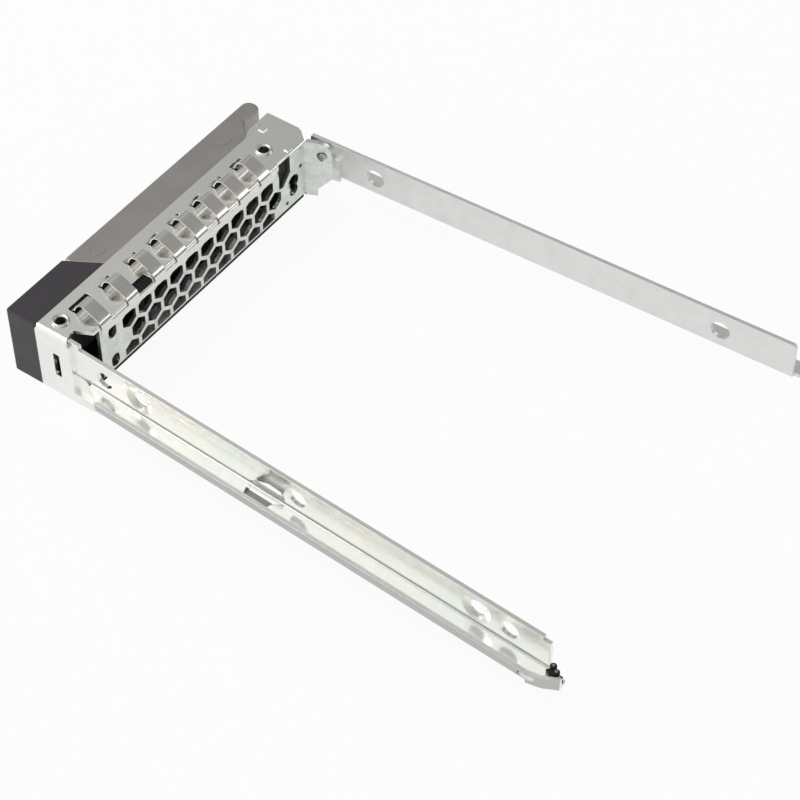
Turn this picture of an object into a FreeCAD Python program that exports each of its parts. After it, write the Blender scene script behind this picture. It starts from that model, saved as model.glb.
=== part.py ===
import FreeCAD, Part
import os
import re

import Sketcher

# A hot swap carrier for a 2.5 inch server drive. Millimetres, +Z up. The origin is on the bay's centre
# line (x = 0), at the front edge of the top plate (y = 0) and on the underside of the front block (z = 0).
# The front, with the lever, faces -Y. The carrier slides into its slot towards +Y, and the two rails open
# a little towards the rear.

SIZES = {
    # Bay and block
    "bay_half": 35.2,            # centre line to a rail's inner face, at the grille
    "drive_screw_step": 76.6,    # between the two side screws of a 2.5 inch drive
    "splay_angle": 2.7,          # each empty rail springs outward by this angle
    "height": 15.6,
    "block_depth": 10.1,         # front edge of the top plate to the grille's rear face
    "sheet_metal": 0.8,
    "bend_inside": 0.3,
    "bend_outside": 1.1,
    "seat_gap": 0.05,            # between a plastic piece and the sheet round it

    # Near wall and the joggle from the wall into the rail
    "joggle": 0.65,
    "joggle_y": 8.2,
    "wall_foot_y": 12.6,
    "wall_foot_height": 2.2,
    "wall_slot_y": 3.9,
    "wall_slot_long": 1.5,
    "wall_slot_low": 4.9,
    "wall_slot_high": 10.7,
    "relief_drop": 1.3,

    # Top plate
    "plate_gap": 0.3,            # plate's far edge to the bay's line
    "plate_corner_y": 7.1,
    "fold_far_x": 32.3,
    "fold_near_in": 4.95,        # near wall's outer face to the end of the plate's fold
    "corner_window_y": 6.6,
    "corner_window_in": 3.15,    # near wall's outer face to the window
    "corner_window_wall": 1.0,   # the window's edge runs this much further back at the wall
    "tab_reach": 1.1,
    "tab_inner_x": 31.0,
    "fold_round": 0.6,
    "bump_x": 29.4,
    "bump_long": 1.5,
    "bump_high": 0.25,

    # Spring fingers and their slots
    "finger_count": 8,
    "finger_first_x": 28.15,
    "finger_wide_step": 7.7,
    "finger_step": 6.45,
    "finger_wide": 3.0,
    "finger_metal": 0.2,
    "finger_band_low": 13.2,
    "finger_band_high": 14.9,
    "finger_shoulder": 0.1,      # the face starts this far below the plate's top
    "finger_crest_y": 7.2,
    "finger_crest": 2.5,
    "finger_front_y": 4.3,
    "finger_curl_y": 3.1,
    "finger_curl": 0.7,
    "finger_dip": 0.3,
    "finger_round": 1.5,
    "finger_bend": 0.45,
    "finger_slot_front": 2.5,
    "finger_slot_rear": 8.7,
    "finger_slot_side": 0.2,
    "first_slot_x": 24.75,
    "first_slot_long": 4.9,
    "first_slot_y": 2.3,
    "first_slot_wide": 1.45,
    "key_window_x": 14.65,
    "key_window_long": 4.0,
    "key_window_y": 7.8,

    # Rails
    "strip_low": 6.3,            # underside of a rail's flange
    "strip_high": 15.4,
    "rail_length": 106.4,        # grille to the end of the web
    "near_flange": 4.45,
    "lip_high": 2.6,
    "flange_start": 2.4,
    "lip_start": 7.4,
    "tip_lead": 1.7,             # the lip turns inward this far ahead of the end of the web,
    "tip_mid": 1.1,              # bends again this far past it
    "tip_end": 3.8,              # and ends here
    "tip_mid_in": 0.7,
    "tip_end_in": 2.2,
    "tip_inner_x": 0.5,
    "web_end_step": 1.4,
    "web_end_drop": 1.0,
    "far_flange": 3.5,
    "far_front": 0.7,            # the far rail starts this far ahead of the grille's face
    "far_tab": 1.1,
    "far_end_round": 1.6,
    "screw_y": 14.55,            # grille to the first drive screw
    "screw_level": 10.7,
    "screw_hole_r": 1.7,
    "screw_seat_r": 3.0,
    "screw_seat_deep": 0.5,
    "far_hole_r": 2.0,
    "spare_hole_r": 1.95,
    "spare_mid_y": 51.9,
    "spare_end_back": 8.3,       # end of the web back to the last plain hole
    "spare_front_y": 6.1,
    "spare_front_r": 1.35,
    "lance_y": 41.7,
    "lance_long": 5.6,
    "lance_high": 1.5,
    "lance_bar": 1.2,
    "lance_belly": 2.3,
    "root_notch_y": 0.6,
    "root_notch": 1.6,
    "lip_slot_back": 3.4,        # end of the web back to the lip's slot
    "lip_slot_long": 3.2,
    "lip_slot_low": 7.3,
    "lip_slot_high": 8.3,

    # Grille and its ear
    "grille_low": 1.6,
    "grille_near_x": 30.25,
    "grille_far_x": 32.9,
    "grille_foot_y": 6.0,
    "ear_reach": 4.9,            # grille's rear face to where the ear meets the rail
    "ear_flange": 1.6,
    "ear_flange_top": 12.0,
    "ear_low": 6.4,
    "ear_round": 3.2,
    "ear_slope_start": 0.9,
    "hexagon_pitch": 4.66,
    "hexagon_web": 0.85,
    "hexagon_first_x": 22.0,
    "hexagon_top_level": 11.3,
    "hexagon_count": 10,
    "grille_rim": 2.7,
    "oval_x": 26.8,
    "oval_wide": 2.2,
    "oval_high": 3.0,
    "oval_upper": 11.7,
    "oval_lower": 4.2,
    "tall_slot_x": 24.85,
    "tall_slot_top": 14.1,
    "tall_slot_low": 9.3,
    "tall_slot_half_top": 1.4,
    "tall_slot_half_low": 0.55,
    "keyhole_x": 28.2,
    "keyhole_upper": 8.0,
    "keyhole_upper_r": 1.65,
    "keyhole_lower": 5.75,
    "keyhole_lower_r": 1.3,
    "pin_hole_r": 0.45,
    "pin_hole_upper_x": 30.7,
    "pin_hole_upper": 10.4,
    "pin_hole_lower_x": 26.0,
    "pin_hole_lower": 3.8,
    "ear_rivet_y": 3.1,
    "ear_rivet_level": 12.3,
    "ear_rivet_r": 0.8,
    "ear_rivet_gap": 0.15,
    "ear_rivet_stub": 0.35,
    "ear_rivet_head_r": 1.3,
    "ear_rivet_head": 0.35,

    # Front block: plastic body
    "floor_thick": 1.6,
    "body_far_x": 33.4,
    "sill_front": 6.6,
    "sill_near_x": 15.2,
    "block_inner_x": 22.5,
    "block_rear": 5.9,
    "body_rear": 9.0,
    "post_front": 6.7,
    "post_long": 2.2,
    "rib_first_x": 14.0,
    "rib_step": 12.5,
    "rib_count": 3,
    "rib_thick": 1.2,
    "rib_front": 1.3,
    "rib_top": 12.4,

    # Bezel cap
    "cap_front": 7.1,
    "cap_joint_front_x": 20.66,
    "cap_joint_rear_x": 16.46,
    "cap_wall": 1.3,
    "cap_round": 0.8,
    "lens_x": 26.0,
    "lens_step": 4.0,
    "lens_level": 12.5,
    "lens_r": 0.85,
    "lens_proud": 0.1,

    # Lever
    "lever_front": 7.7,
    "lever_low": 1.9,
    "lever_plate_gap": 0.1,      # lever's top face to the underside of the top plate
    "lever_rear": 0.6,           # lever's rear edge, under the top plate
    "lever_joint_gap": 0.4,
    "pivot_x": 25.65,
    "pivot_y": 5.1,
    "pivot_lobe_r": 3.6,
    "pivot_lobe_gap": 0.4,
    "arm_far_x": 29.1,
    "arm_near_x": 17.5,
    "hook_root_x": 27.9,
    "hook_root_y": 0.8,
    "hook_notch_x": 31.2,
    "hook_notch_y": 4.1,
    "hook_nose_x": 36.5,
    "hook_rear_y": 3.6,
    "hook_round": 1.8,
    "nose_solid_x": 30.2,
    "lever_hexagon_x": 12.6,
    "lever_hexagon_count": 9,
    "stake_r": 1.5,
    "stake_y": 4.0,
    "stake_near_x": 13.8,
    "stake_far_x": 24.35,
    "stake_long": 2.1,
    "stake_proud": 0.05,
    "insert_bar": 1.2,
    "insert_front": 5.6,
    "insert_rear": 0.7,
    "insert_near_x": 15.3,
    "insert_far_x": 27.8,
    "insert_post": 1.8,
    "insert_gap": 0.05,
    "hub_r": 3.1,

    # Rivets
    "rivet_r": 1.3,
    "rivet_bore_r": 0.9,
    "rivet_flare_r": 1.6,
    "rivet_flare_deep": 0.3,
    "rivet_running": 0.07,
    "rivet_foot_r": 2.0,
    "rivet_foot": 0.5,
    "rivet_foot_up": 0.2,
    "corner_rivet_in": 3.7,      # near wall's outer face to the corner rivet
    "corner_rivet_y": 3.3,
    "corner_rivet_long": 6.0,

    # Release button and the latch slider that it wedges aside
    "button_far_x": 24.0,
    "button_near_x": 33.0,
    "button_low": 4.4,
    "button_high": 9.8,
    "button_proud": 0.4,
    "button_rear": 4.8,
    "button_gap": 0.2,
    "button_rim": 0.8,
    "button_rim_thick": 0.8,
    "button_dish": 0.25,
    "wedge_slope": 0.8,
    "wedge_far_x": 26.4,
    "wedge_near_x": 30.0,
    "wedge_long": 2.4,
    "wedge_low": 6.1,
    "wedge_high": 8.5,
    "wedge_gap": 0.05,
    "latch_front": 3.5,
    "latch_rear": 0.5,
    "latch_low": 4.3,
    "latch_plate": 1.5,
    "latch_near_x": 32.4,
    "latch_plate_x": 20.4,
    "latch_shelf": 1.8,
    "latch_shelf_gap": 0.1,
    "latch_tooth_x": 15.8,
    "latch_tooth_front": 3.0,
    "latch_tooth_rear": 1.4,
    "latch_tooth_high": 8.4,
    "spring_r": 1.0,
    "spring_wire_r": 0.16,
    "spring_turns": 5.0,

    # Status board and rail tip contacts
    "board_thick": 0.8,
    "board_front": 3.9,
    "board_low": 10.9,
    "board_high": 14.0,
    "board_far_x": 23.4,
    "contact_front": 0.2,        # past the end of the web
    "contact_rear": 3.4,
    "contact_inner_x": -0.7,
    "contact_wide": 2.6,
    "contact_high": 1.5,
    "contact_step": 0.7,
    "pin_r": 0.17,
    "pin_out": 0.5,
    "pin_deep": 1.2,
    "pin_level": 0.75,
    "flex_inner_x": 0.9,
    "flex_wide": 2.2,
    "flex_thick": 0.15,
    "flex_back": 6.4,            # end of the web back to the conductor's end
}

doc = FreeCAD.newDocument("drive_carrier")
sheet = doc.addObject("Spreadsheet::Sheet", "Sizes")
for row, (size, value) in enumerate(SIZES.items(), start=1):
    sheet.set(f"A{row}", size)
    sheet.set(f"B{row}", str(value))
    sheet.setAlias(f"B{row}", size)
doc.recompute()

# Lengths that several pieces share, worked out from the sizes above
WALL_X = "(bay_half + sheet_metal + joggle)"
PLATE_UNDER = "(height - sheet_metal)"
PLATE_FAR_X = "(-(bay_half - plate_gap))"
WEB_X = "(bay_half + sheet_metal)"
FLANGE_TOP = "(strip_low + sheet_metal)"
LIP_TOP = "(strip_low + lip_high)"
EAR_END_Y = "(block_depth + ear_reach)"
LEVER_TOP = "(height - sheet_metal - lever_plate_gap)"
BODY_NEAR_X = "(bay_half + joggle - seat_gap)"
HEXAGON_HALF = "((hexagon_pitch - hexagon_web) / 2)"
HEXAGON_TIP = "((hexagon_pitch - hexagon_web) / (2 * cos(30)))"
HEXAGON_ROW = "(hexagon_pitch * cos(30))"
TIP_START = "(rail_length - tip_lead)"
TIP_MID = "(rail_length + tip_mid)"
TIP_END = "(rail_length + tip_end)"
CONTACT_FRONT = "(rail_length + contact_front)"
CONTACT_REAR = "(rail_length + contact_rear)"
CORNER_WINDOW_X = f"({WALL_X} - corner_window_in)"
CORNER_RIVET_X = f"({WALL_X} - corner_rivet_in)"
FOLD_NEAR_X = f"({WALL_X} - fold_near_in)"


def cells(text):
    """The text with each size's name turned into a reference to its cell."""
    return re.sub(r"[A-Za-z_]\w*", lambda word: f"Sizes.{word[0]}" if word[0] in SIZES else word[0], text)


def number(text):
    """The present value of an expression on the sizes."""
    value = sheet.evalExpression(cells(text))
    return float(getattr(value, "Value", value))


def bind(thing, **settings):
    """Ties properties to sizes. Two underscores stand for a dot in a property's path."""
    for path, text in settings.items():
        thing.setExpression(path.replace("__", "."), cells(text))


def new_body(name):
    body = doc.addObject("PartDesign::Body", name)
    body.Label = name
    return body


def origin_plane(body, plane):
    return next(feature for feature in body.Origin.OriginFeatures if feature.Role == f"{plane}_Plane")


def pin_point(sketch, geometry, vertex, x, y):
    """Holds one point of a sketch at two expressions."""
    for kind, text in (("DistanceX", x), ("DistanceY", y)):
        index = sketch.addConstraint(Sketcher.Constraint(kind, geometry, vertex, number(text)))
        sketch.setExpression(f"Constraints[{index}]", cells(text))


def pin_radius(sketch, geometry, radius):
    index = sketch.addConstraint(Sketcher.Constraint("Radius", geometry, number(radius)))
    sketch.setExpression(f"Constraints[{index}]", cells(radius))


def draw_circle(sketch, x, y, radius):
    centre = FreeCAD.Vector(number(x), number(y), 0)
    circle = sketch.addGeometry(Part.Circle(centre, FreeCAD.Vector(0, 0, 1), number(radius)))
    pin_point(sketch, circle, 3, x, y)
    pin_radius(sketch, circle, radius)


def draw_path(sketch, corners, closed):
    """Straight runs from corner to corner. A corner with a third entry is rounded to that radius."""
    points = [FreeCAD.Vector(number(corner[0]), number(corner[1]), 0) for corner in corners]
    runs = len(points) if closed else len(points) - 1
    first = sketch.GeometryCount
    for run in range(runs):
        sketch.addGeometry(Part.LineSegment(points[run], points[(run + 1) % len(points)]))
    for run in range(runs if closed else runs - 1):
        following = (run + 1) % runs
        sketch.addConstraint(Sketcher.Constraint("Coincident", first + run, 2, first + following, 1))
    for index, corner in enumerate(corners):
        if index < runs:
            pin_point(sketch, first + index, 1, corner[0], corner[1])
        else:
            pin_point(sketch, first + index - 1, 2, corner[0], corner[1])
    for index, corner in enumerate(corners):
        if len(corner) == 3:
            before = sketch.GeometryCount
            sketch.fillet(first + index, 1, number(corner[2]), True, True)
            arc = next(new for new in range(before, sketch.GeometryCount)
                       if isinstance(sketch.Geometry[new], Part.ArcOfCircle))
            pin_radius(sketch, arc, corner[2])


def sketch_on(body, name, plane, level):
    """An empty sketch in the body, parallel to an origin plane, at a level along the plane's row axis."""
    sketch = body.newObject("Sketcher::SketchObject", name)
    sketch.AttachmentSupport = [(origin_plane(body, plane), "")]
    sketch.MapMode = "FlatFace"
    toward = f"-({level})" if plane == "XZ" else level
    bind(sketch, AttachmentOffset__Base__z=toward)
    return sketch


def volume(body):
    return 0.0 if body.Shape.isNull() else body.Shape.Volume


def extrude(body, kind, name, plane, low, high, *shapes):
    """A Pad or Pocket between two levels. XY runs along Z, YZ along X and XZ along Y. A shape is a list of
    corners, or a circle as (x, y, radius)."""
    sketch = sketch_on(body, f"{name}_sketch", plane, high if plane == "XZ" else low)
    for shape in shapes:
        if isinstance(shape, list):
            draw_path(sketch, shape, closed=True)
        else:
            draw_circle(sketch, *shape)
    feature = body.newObject(f"PartDesign::{kind}", name)
    feature.Profile = sketch
    feature.Reversed = kind == "Pocket"
    bind(feature, Length=f"({high}) - ({low})")
    before = volume(body)
    doc.recompute()
    grew = volume(body) - before
    if (grew > 0) != (kind == "Pad") or abs(grew) < 1e-6:
        raise ValueError(f"{name} changes the volume of {body.Label} by {grew}")
    return feature


def pad(body, name, plane, low, high, *shapes):
    return extrude(body, "Pad", name, plane, low, high, *shapes)


def pocket(body, name, plane, low, high, *shapes):
    return extrude(body, "Pocket", name, plane, low, high, *shapes)


def rectangle(x_low, y_low, x_high, y_high, radius=None):
    corners = [(x_low, y_low), (x_high, y_low), (x_high, y_high), (x_low, y_high)]
    return [corner + (radius,) for corner in corners] if radius else corners


def repeat_along_x(body, feature, name, step, count):
    """Copies a feature towards -X."""
    pattern = body.newObject("PartDesign::LinearPattern", name)
    pattern.Originals = [feature]
    pattern.Direction = (feature.Profile[0], ["H_Axis"])
    pattern.Reversed = True
    bind(pattern, Length=f"{step} * ({count} - 1)", Occurrences=count)
    body.Tip = pattern
    doc.recompute()
    return pattern


def round_edges(body, name, radius, chosen):
    """Fillets the edges of the body's present shape that the test picks."""
    picked = [f"Edge{index}" for index, edge in enumerate(body.Shape.Edges, start=1) if chosen(edge)]
    if not picked:
        raise ValueError(f"{name} finds no edge")
    fillet = body.newObject("PartDesign::Fillet", name)
    fillet.Base = (body.Tip if body.Tip != fillet else fillet.BaseFeature, picked)
    bind(fillet, Radius=radius)
    doc.recompute()
    return fillet


def straight_edge_at(x=None, y=None, z=None):
    """A test for straight edges that lie at the given coordinates along their whole length."""
    wanted = [(axis, number(text)) for axis, text in enumerate((x, y, z)) if text is not None]

    def chosen(edge):
        ends = [vertex.Point for vertex in edge.Vertexes]
        return len(ends) == 2 and edge.Curve.TypeId == "Part::GeomLine" and all(
            abs(end[axis] - value) < 1e-4 for end in ends for axis, value in wanted)

    return chosen


def cone_cut(body, name, x, y, z, turn, wide, narrow, deep):
    """A conical seat: its wide end at (x, y, z), narrowing along the turned local Z."""
    cone = body.newObject("PartDesign::SubtractiveCone", name)
    cone.Placement = FreeCAD.Placement(FreeCAD.Vector(), turn)
    bind(cone, Radius1=wide, Radius2=narrow, Height=deep,
         Placement__Base__x=x, Placement__Base__y=y, Placement__Base__z=z)
    doc.recompute()
    return cone


TOWARDS_MINUS_X = FreeCAD.Rotation(FreeCAD.Vector(0, 1, 0), -90)
DOWNWARDS = FreeCAD.Rotation(FreeCAD.Vector(1, 0, 0), 180)


def finger_x(index):
    """Centre of a spring finger. The first three stand further apart than the others."""
    wide_steps = min(index, 2)
    return f"(finger_first_x - {wide_steps} * finger_wide_step - {index - wide_steps} * finger_step)"


def stand_along_rail(body, side):
    """Puts a body made in a rail's own frame in place: its origin is on the web's outer face, in line with the
    grille's rear face, and its Y axis follows the splayed rail. The near side is +1 and the far side is -1."""
    body.Placement = FreeCAD.Placement(FreeCAD.Vector(), FreeCAD.Rotation(FreeCAD.Vector(0, 0, 1), 1))
    bind(body, Placement__Base__x=f"{side} * {WEB_X}", Placement__Base__y="block_depth",
         Placement__Rotation__Angle=f"-{side} * splay_angle")
    doc.recompute()


def make_corner_sheet():
    """Top plate and near wall, bent in one piece."""
    body = new_body("corner_sheet")
    inner_wall = f"({WALL_X} - sheet_metal)"
    bend_root = f"({CORNER_WINDOW_X} - corner_window_wall)"
    pad(body, "bend", "XZ", "0", "joggle_y", [
        (WALL_X, "0"), (WALL_X, "height", "bend_outside"), (bend_root, "height"), (bend_root, PLATE_UNDER),
        (inner_wall, PLATE_UNDER, "bend_inside"), (inner_wall, "0")])
    pad(body, "plate", "XY", PLATE_UNDER, "height", [
        (CORNER_WINDOW_X, "0"), (CORNER_WINDOW_X, "corner_window_y"), (FOLD_NEAR_X, "block_depth"),
        ("-fold_far_x", "block_depth"), (PLATE_FAR_X, "plate_corner_y"),
        (PLATE_FAR_X, "-tab_reach", "bend_inside"),
        ("-tab_inner_x", "-tab_reach"), ("-tab_inner_x + bend_inside", "0")])
    round_edges(body, "fold", "fold_round", straight_edge_at(y="block_depth", z="height"))
    pocket(body, "corner_window", "XY", "height - relief_drop", "height + seat_gap", [
        (f"{WALL_X} + joggle", "corner_window_y + corner_window_wall"),
        (WALL_X, "corner_window_y + corner_window_wall"), (CORNER_WINDOW_X, "corner_window_y"),
        (FOLD_NEAR_X, "block_depth"), (f"{WALL_X} + joggle", "block_depth")])
    pad(body, "wall_foot", "YZ", inner_wall, WALL_X,
        rectangle("joggle_y - sheet_metal", "0", "wall_foot_y", "wall_foot_height"))
    pocket(body, "wall_slot", "YZ", f"{inner_wall} - joggle", f"{WALL_X} + joggle",
           rectangle("wall_slot_y", "wall_slot_low", "wall_slot_y + wall_slot_long", "wall_slot_high",
                     "bend_inside"))
    pad(body, "stop_bump", "XY", "height", "height + bump_high",
        rectangle("-bump_x", "block_depth - 2 * fold_round - bump_long / 2", "-bump_x + bump_long",
                  "block_depth - fold_round", "bend_inside"))
    slots = []
    for index in range(SIZES["finger_count"]):
        reach = "(finger_wide / 2 + finger_slot_side)"
        slots.append(rectangle(f"{finger_x(index)} - {reach}", "finger_slot_front",
                               f"{finger_x(index)} + {reach}", "finger_slot_rear"))
    pocket(body, "finger_slots", "XY", f"{PLATE_UNDER} - seat_gap", "height + seat_gap", *slots)
    pocket(body, "first_slot", "XY", f"{PLATE_UNDER} - seat_gap", "height + seat_gap",
           rectangle("first_slot_x", "first_slot_y", "first_slot_x + first_slot_long",
                     "first_slot_y + first_slot_wide"))
    pocket(body, "key_window", "XY", f"{PLATE_UNDER} - seat_gap", "height + seat_gap",
           rectangle("key_window_x", "key_window_y", "key_window_x + key_window_long", "block_depth + seat_gap"))
    pocket(body, "rivet_holes", "XY", f"{PLATE_UNDER} - seat_gap", "height + seat_gap",
           ("-pivot_x", "pivot_y", "rivet_r"), (CORNER_RIVET_X, "corner_rivet_y", "rivet_r"))
    for name, x, y in (("pivot_seat", "-pivot_x", "pivot_y"), ("corner_seat", CORNER_RIVET_X, "corner_rivet_y")):
        cone_cut(body, name, x, y, "height", DOWNWARDS, "rivet_flare_r", "rivet_r", "rivet_flare_deep")
    return body


def make_near_rail():
    """Near rail in its own frame: a web with a flange folded outward and a lip turned up along the flange."""
    body = new_body("near_rail")
    pad(body, "section", "XZ", "flange_start", TIP_START, [
        ("-sheet_metal", "strip_low", "bend_outside"), ("near_flange", "strip_low", "bend_outside"),
        ("near_flange", LIP_TOP), ("near_flange - sheet_metal", LIP_TOP),
        ("near_flange - sheet_metal", FLANGE_TOP, "bend_inside"), ("0", FLANGE_TOP, "bend_inside"),
        ("0", "strip_high"), ("-sheet_metal", "strip_high")])
    pad(body, "root", "YZ", "-sheet_metal", "0", [
        ("joggle_y - sheet_metal - block_depth", "wall_foot_height - sheet_metal"),
        ("flange_start", "wall_foot_height - sheet_metal"), ("flange_start", "strip_high"),
        ("joggle_y - sheet_metal - block_depth", "strip_high")])
    pad(body, "web_end", "YZ", "-sheet_metal", "0", [
        (TIP_START, "strip_low + bend_outside"), ("rail_length", "strip_low + bend_outside"),
        ("rail_length", "strip_high - web_end_drop"), ("rail_length - web_end_step", "strip_high - web_end_drop"),
        ("rail_length - web_end_step", "strip_high"), (TIP_START, "strip_high")])
    pad(body, "tip_flange", "XY", "strip_low", FLANGE_TOP, [
        ("bend_inside", TIP_START), ("near_flange - sheet_metal / 2", TIP_START),
        ("near_flange - tip_mid_in - sheet_metal / 2", TIP_MID),
        ("near_flange - tip_end_in - sheet_metal / 2", TIP_END), ("tip_inner_x", TIP_END),
        ("bend_inside", "rail_length")])
    pad(body, "tip_web_foot", "XZ", TIP_START, "rail_length", [
        ("-sheet_metal", "strip_low", "bend_outside"), ("tip_inner_x + sheet_metal", "strip_low"),
        ("tip_inner_x + sheet_metal", FLANGE_TOP), ("0", FLANGE_TOP, "bend_inside"),
        ("0", "strip_low + 2 * bend_outside"), ("-sheet_metal", "strip_low + 2 * bend_outside")])
    pad(body, "tip_lip", "XY", "strip_low", LIP_TOP, [
        ("near_flange", TIP_START), ("near_flange - tip_mid_in", TIP_MID, "far_end_round"),
        ("near_flange - tip_end_in", TIP_END), ("near_flange - tip_end_in - sheet_metal", TIP_END),
        ("near_flange - tip_mid_in - sheet_metal", TIP_MID, "far_end_round"),
        ("near_flange - sheet_metal", TIP_START)])
    pocket(body, "flange_lead", "XY", "strip_low - seat_gap", "strip_high", [
        ("sheet_metal", "flange_start - seat_gap"), ("near_flange + sheet_metal", "flange_start - seat_gap"),
        ("near_flange + sheet_metal", "lip_start"), ("near_flange - sheet_metal", "lip_start")])
    pocket(body, "root_notch", "YZ", "-sheet_metal - seat_gap", "seat_gap", [
        ("root_notch_y", FLANGE_TOP), ("root_notch_y + root_notch", "strip_low - root_notch / 2"),
        ("root_notch_y + root_notch", f"{FLANGE_TOP} + root_notch / 2")])
    pocket(body, "lance_web", "YZ", "-sheet_metal - seat_gap", "seat_gap", [
        ("lance_y - sheet_metal", f"{FLANGE_TOP} + bend_inside"),
        ("lance_y + lance_long", f"{FLANGE_TOP} + bend_inside"),
        ("lance_y + lance_long", f"{FLANGE_TOP} + bend_inside + lance_high", "bend_inside"),
        ("lance_y", f"{FLANGE_TOP} + bend_inside + lance_high / 2", "bend_inside")])
    pocket(body, "lance_flange", "XY", "strip_low - seat_gap", f"{FLANGE_TOP} + seat_gap", [
        ("lance_bar", "lance_y - sheet_metal"), ("lance_bar + lance_belly", "lance_y", "lance_bar"),
        ("lance_bar + lance_belly", "lance_y + lance_long - sheet_metal", "lance_bar"),
        ("lance_bar", "lance_y + lance_long")])
    pocket(body, "lip_slot", "YZ", "near_flange - 2 * sheet_metal", "near_flange + sheet_metal",
           rectangle("rail_length - lip_slot_back", "lip_slot_low",
                     "rail_length - lip_slot_back + lip_slot_long", "lip_slot_high", "bend_inside"))
    screws = ["screw_y", "screw_y + drive_screw_step"]
    pocket(body, "screw_holes", "YZ", "-sheet_metal - seat_gap", "seat_gap",
           *[(y, "screw_level", "screw_hole_r") for y in screws])
    pocket(body, "spare_holes", "YZ", "-sheet_metal - seat_gap", "seat_gap",
           ("spare_front_y", "screw_level", "spare_front_r"), ("spare_mid_y", "screw_level", "spare_hole_r"),
           ("rail_length - spare_end_back", "screw_level", "spare_hole_r"))
    for index, y in enumerate(screws):
        cone_cut(body, f"screw_seat_{index}", "0", y, "screw_level", TOWARDS_MINUS_X,
                 "screw_seat_r", "screw_hole_r", "screw_seat_deep")
    stand_along_rail(body, 1)
    return body


def make_main_bracket():
    """Top plate, near wall and near rail, folded from one sheet. A joggle sets the rail in from the wall."""
    step = new_body("joggle_step")
    inner = f"({WALL_X} - sheet_metal - joggle)"
    pad(step, "upright", "XY", "wall_foot_height - sheet_metal", "strip_high - relief_drop",
        rectangle(inner, "joggle_y - sheet_metal", WALL_X, "joggle_y", "seat_gap"))
    pad(step, "ledge", "XY", "wall_foot_height - sheet_metal", "wall_foot_height",
        rectangle(inner, "joggle_y - sheet_metal", WALL_X, "wall_foot_y", "seat_gap"))
    bracket = doc.addObject("Part::MultiFuse", "main_bracket")
    bracket.Shapes = [make_corner_sheet(), make_near_rail(), step]
    bracket.Label = "main_bracket"
    return bracket


def make_far_rail():
    """Far rail in its own frame: a flat web with a narrow flange folded outward."""
    body = new_body("far_rail")
    pad(body, "section", "XZ", "ear_reach + ear_flange", "rail_length - far_end_round", [
        ("sheet_metal", "strip_low", "bend_outside"), ("-far_flange", "strip_low"), ("-far_flange", FLANGE_TOP),
        ("0", FLANGE_TOP, "bend_inside"), ("0", "strip_high"), ("sheet_metal", "strip_high")])
    pad(body, "web_front", "YZ", "0", "sheet_metal", [
        ("-far_front", FLANGE_TOP), ("ear_reach + ear_flange", FLANGE_TOP),
        ("ear_reach + ear_flange", "strip_high"), ("-far_front", "strip_high", "bend_outside")])
    pad(body, "web_end", "YZ", "0", "sheet_metal", [
        ("rail_length - far_end_round", "strip_low + bend_outside"), ("rail_length", "strip_low + bend_outside"),
        ("rail_length", "strip_high", "far_end_round - seat_gap"), ("rail_length - far_end_round", "strip_high")])
    pad(body, "end_tab", "XY", "strip_low", FLANGE_TOP, [
        ("-far_flange", "rail_length - far_end_round"), ("-far_flange", "rail_length + far_tab - bend_outside"),
        ("-far_flange + bend_outside", "rail_length + far_tab"), ("-bend_inside", "rail_length + far_tab"),
        ("-bend_inside", "rail_length - far_end_round")])
    pad(body, "end_foot", "XZ", "rail_length - far_end_round", "rail_length", [
        ("sheet_metal", "strip_low", "bend_outside"), ("-sheet_metal", "strip_low"), ("-sheet_metal", FLANGE_TOP),
        ("0", FLANGE_TOP, "bend_inside"), ("0", "strip_low + 2 * bend_outside"),
        ("sheet_metal", "strip_low + 2 * bend_outside")])
    pocket(body, "screw_holes", "YZ", "-seat_gap", "sheet_metal + seat_gap",
           ("screw_y", "screw_level", "far_hole_r"), ("screw_y + drive_screw_step", "screw_level", "far_hole_r"))
    pocket(body, "ear_rivet_hole", "YZ", "-seat_gap", "sheet_metal + seat_gap",
           ("ear_rivet_y", "ear_rivet_level", "ear_rivet_r"))
    stand_along_rail(body, -1)
    return body


def hexagon(x, z, low=None):
    """Corners of an upright hexagonal vent, cut off flat where a level is given."""
    upper = [(f"{x} - {HEXAGON_HALF}", f"{z} + {HEXAGON_TIP} / 2"), (x, f"{z} + {HEXAGON_TIP}"),
             (f"{x} + {HEXAGON_HALF}", f"{z} + {HEXAGON_TIP} / 2")]
    if low:
        return upper + [(f"{x} + {HEXAGON_HALF}", low), (f"{x} - {HEXAGON_HALF}", low)]
    return upper + [(f"{x} + {HEXAGON_HALF}", f"{z} - {HEXAGON_TIP} / 2"), (x, f"{z} - {HEXAGON_TIP}"),
                    (f"{x} - {HEXAGON_HALF}", f"{z} - {HEXAGON_TIP} / 2")]


def honeycomb(body, first_x, low_y, high_y, count):
    """Three staggered rows of hexagonal vents through a wall. The rim at the foot cuts the bottom row flat."""
    for row in range(3):
        x = f"({first_x} - {row % 2} * hexagon_pitch / 2)"
        z = f"(hexagon_top_level - {row} * {HEXAGON_ROW})"
        vent = pocket(body, f"vent_{row}", "XZ", low_y, high_y, hexagon(x, z, "grille_rim" if row == 2 else None))
        repeat_along_x(body, vent, f"vents_{row}", "hexagon_pitch", count)


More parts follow.
